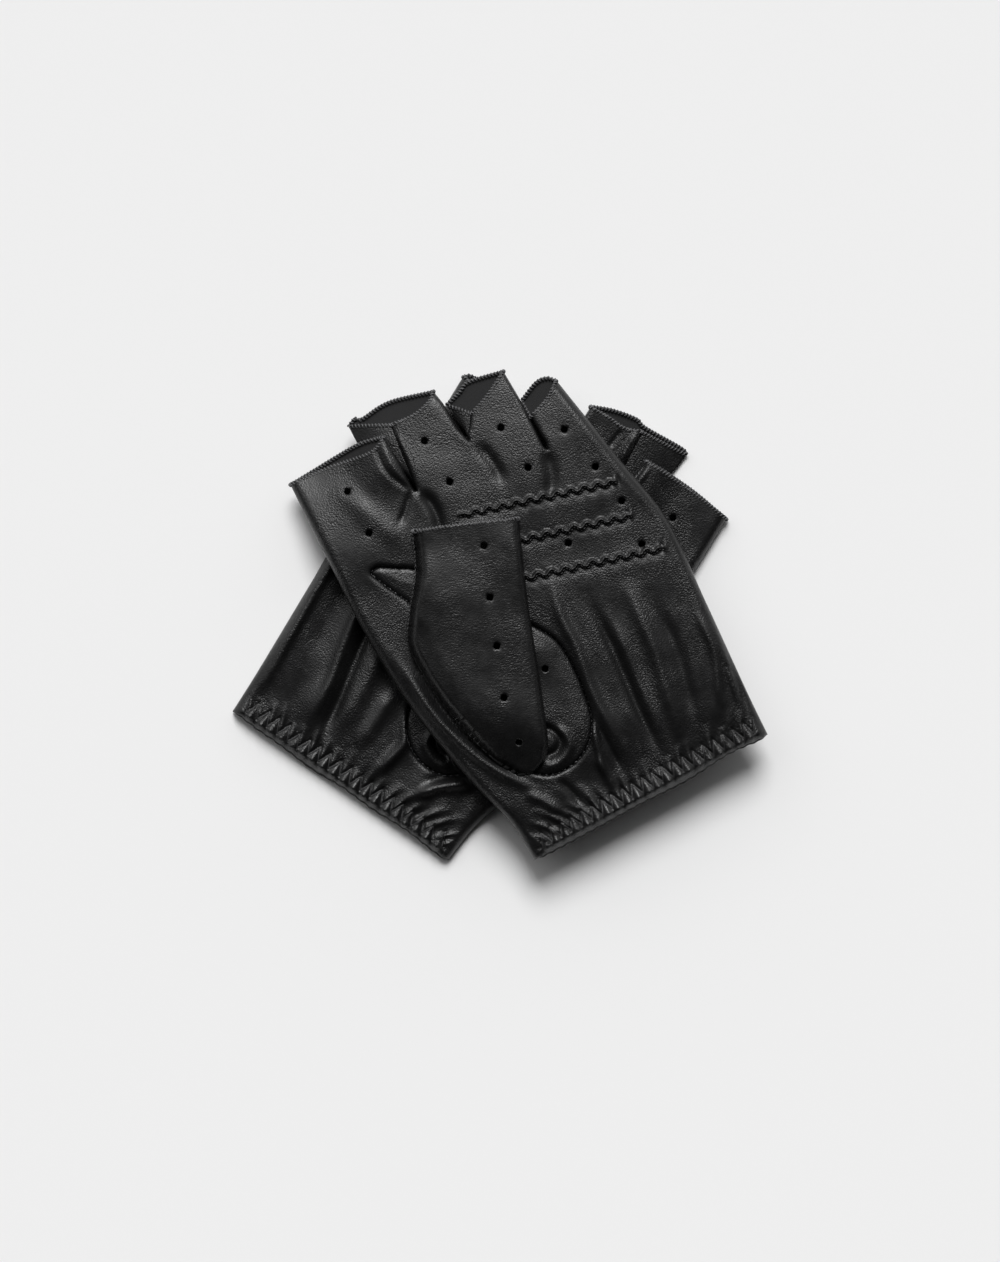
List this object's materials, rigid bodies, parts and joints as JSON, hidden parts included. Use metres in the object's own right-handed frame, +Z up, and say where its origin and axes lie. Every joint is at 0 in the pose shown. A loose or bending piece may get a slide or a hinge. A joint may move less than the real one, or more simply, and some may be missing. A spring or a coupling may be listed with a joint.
{
  "type": "pair of fingerless leather driving gloves",
  "caption": "Pair of black fingerless leather driving gloves, laid flat and crossed with palms up, with folded thumbs, punched holes, gathered palm rows and an elastic wrist.",
  "frame": {"origin": "on the ground, below the middle of the pair's bounding box", "axes": "+Z up through the thickness of the pile, +X across the pair from the left glove's thumb side to its wrist, +Y from the wrists towards the fingertips"},
  "size_m": [0.1808, 0.1636, 0.0261],
  "materials": {
    "leather": "black semi-matte glove leather with a fine grain",
    "thread": "black sewing thread with a slight sheen",
    "elastic": "matte black woven elastic"
  },
  "bodies": {
    "right_glove": {"right_back_panel": "leather", "right_palm_panel": "leather", "right_fourchette_index_middle": "leather", "right_fourchette_middle_ring": "leather", "right_fourchette_ring_little": "leather", "right_index_hem_thread": "thread", "right_middle_hem_thread": "thread", "right_ring_hem_thread": "thread", "right_little_hem_thread": "thread", "right_palm_elastic_1": "elastic", "right_palm_gather_thread_1": "thread", "right_palm_elastic_2": "elastic", "right_palm_gather_thread_2": "thread", "right_palm_elastic_3": "elastic", "right_palm_gather_thread_3": "thread", "right_wrist_elastic": "elastic", "right_wrist_gather_thread": "thread", "right_side_seam_thread": "thread", "right_thumb_seam_thread": "thread"},
    "right_thumb": {"right_thumb_panel": "leather", "right_thumb_hem_thread": "thread", "right_thumb_side_seam_thread": "thread"},
    "left_glove": {"left_back_panel": "leather", "left_palm_panel": "leather", "left_fourchette_index_middle": "leather", "left_fourchette_middle_ring": "leather", "left_fourchette_ring_little": "leather", "left_index_hem_thread": "thread", "left_middle_hem_thread": "thread", "left_ring_hem_thread": "thread", "left_little_hem_thread": "thread", "left_palm_elastic_1": "elastic", "left_palm_gather_thread_1": "thread", "left_palm_elastic_2": "elastic", "left_palm_gather_thread_2": "thread", "left_palm_elastic_3": "elastic", "left_palm_gather_thread_3": "thread", "left_wrist_elastic": "elastic", "left_wrist_gather_thread": "thread", "left_side_seam_thread": "thread", "left_thumb_seam_thread": "thread"},
    "left_thumb": {"left_thumb_panel": "leather", "left_thumb_hem_thread": "thread", "left_thumb_side_seam_thread": "thread"}
  },
  "joints": [
    {"name": "left_glove_lift", "type": "slide", "parent": "right_glove", "child": "left_glove", "axis": [0, 0, 1], "range_m": [0, 0.15]},
    {"name": "left_thumb_fold", "type": "hinge", "parent": "left_glove", "child": "left_thumb", "pos_m": [-0.01738, -0.03135, 0.0205], "axis": [0.6364, -0.7714, 0], "range_deg": [0, 130]},
    {"name": "right_thumb_fold", "type": "hinge", "parent": "right_glove", "child": "right_thumb", "pos_m": [0.01754, -0.03574, 0.0073], "axis": [0.7172, 0.6969, 0], "range_deg": [0, 130]}
  ],
  "couplings": [
    {"joint": "right_thumb_fold", "follows": "left_glove_lift", "rad_per_m": 15}
  ]
}
